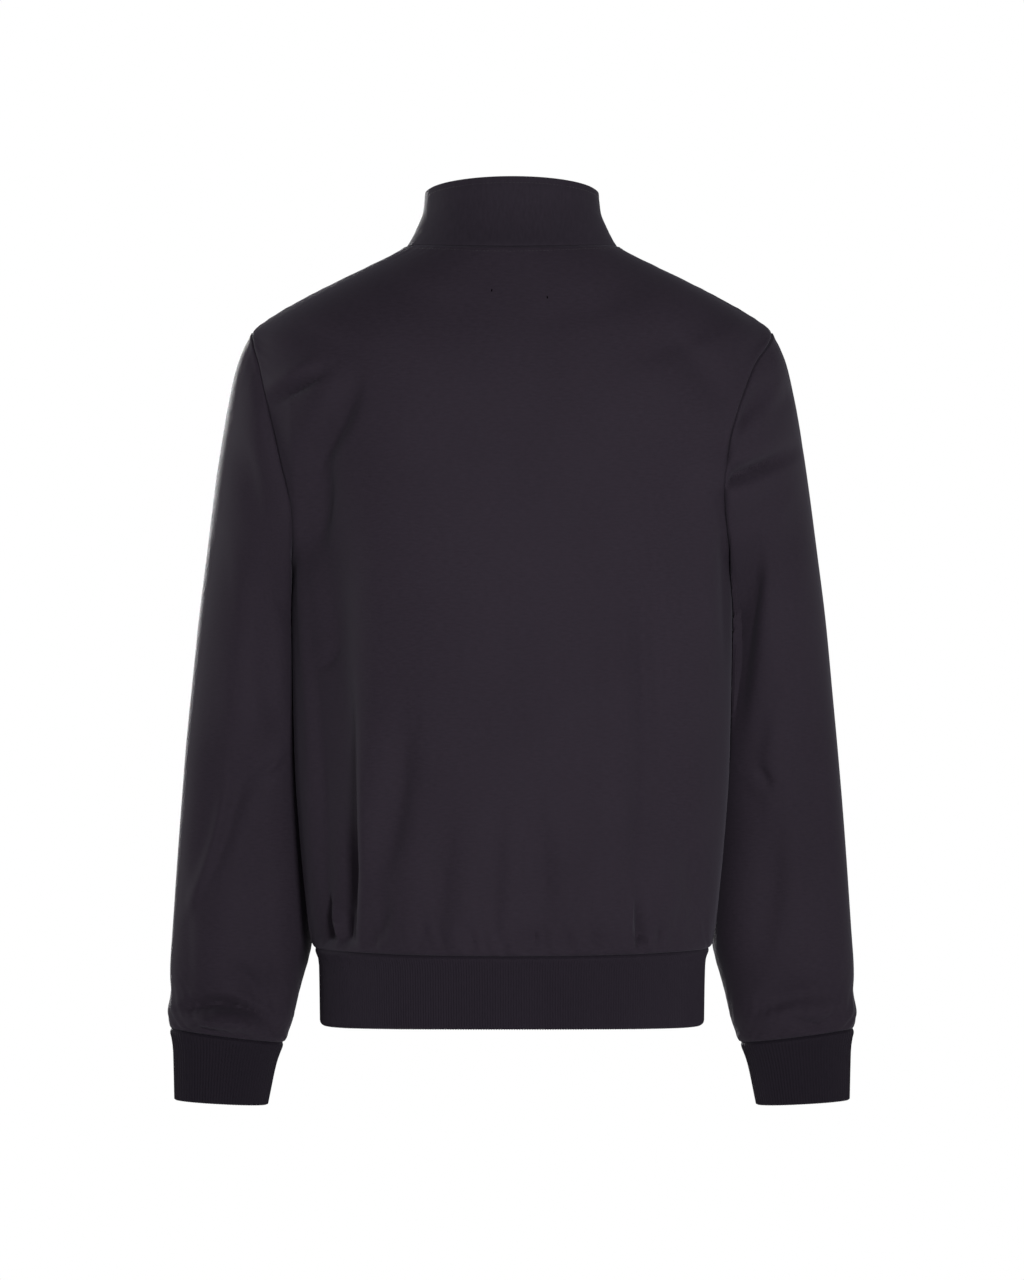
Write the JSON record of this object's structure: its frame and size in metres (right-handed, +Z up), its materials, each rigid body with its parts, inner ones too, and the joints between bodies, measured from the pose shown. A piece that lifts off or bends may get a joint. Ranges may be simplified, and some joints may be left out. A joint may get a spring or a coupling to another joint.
{
  "type": "track jacket",
  "caption": "Zip-front track jacket in its worn shape with nobody in it: stand collar, set-in sleeves, ribbed hem band and cuffs.",
  "frame": {"origin": "middle of the neck opening, level with the side neck points, where the wearer's neck holds the jacket up", "axes": "+Z up towards the head, -Y out of the wearer's chest, +X towards the wearer's left"},
  "size_m": [0.6066, 0.2485, 0.8085],
  "materials": {
    "jersey": "smooth double-knit jersey with a faint sheen",
    "rib_knit": "fine vertical ribs, matte",
    "zip_tape": "woven tape, matte",
    "zip_teeth": "moulded plastic, satin",
    "zip_metal": "dark satin enamel"
  },
  "bodies": {
    "jacket": {"back": "jersey", "front_left": "jersey", "front_right": "jersey", "sleeve_left": "jersey", "sleeve_right": "jersey", "collar": "jersey", "hem_band": "rib_knit", "cuff_left": "rib_knit", "cuff_right": "rib_knit", "zip_tape_left": "zip_tape", "zip_tape_right": "zip_tape", "zip_chain": "zip_teeth", "zip_box": "zip_metal", "zip_slider": "zip_metal"},
    "pull": {"zip_pull": "zip_metal"}
  },
  "joints": [
    {"name": "pull_tab", "type": "hinge", "parent": "jacket", "child": "pull", "pos_m": [0, -0.07904, -0.0175], "axis": [-1, 0, 0], "range_deg": [0, 160]}
  ]
}
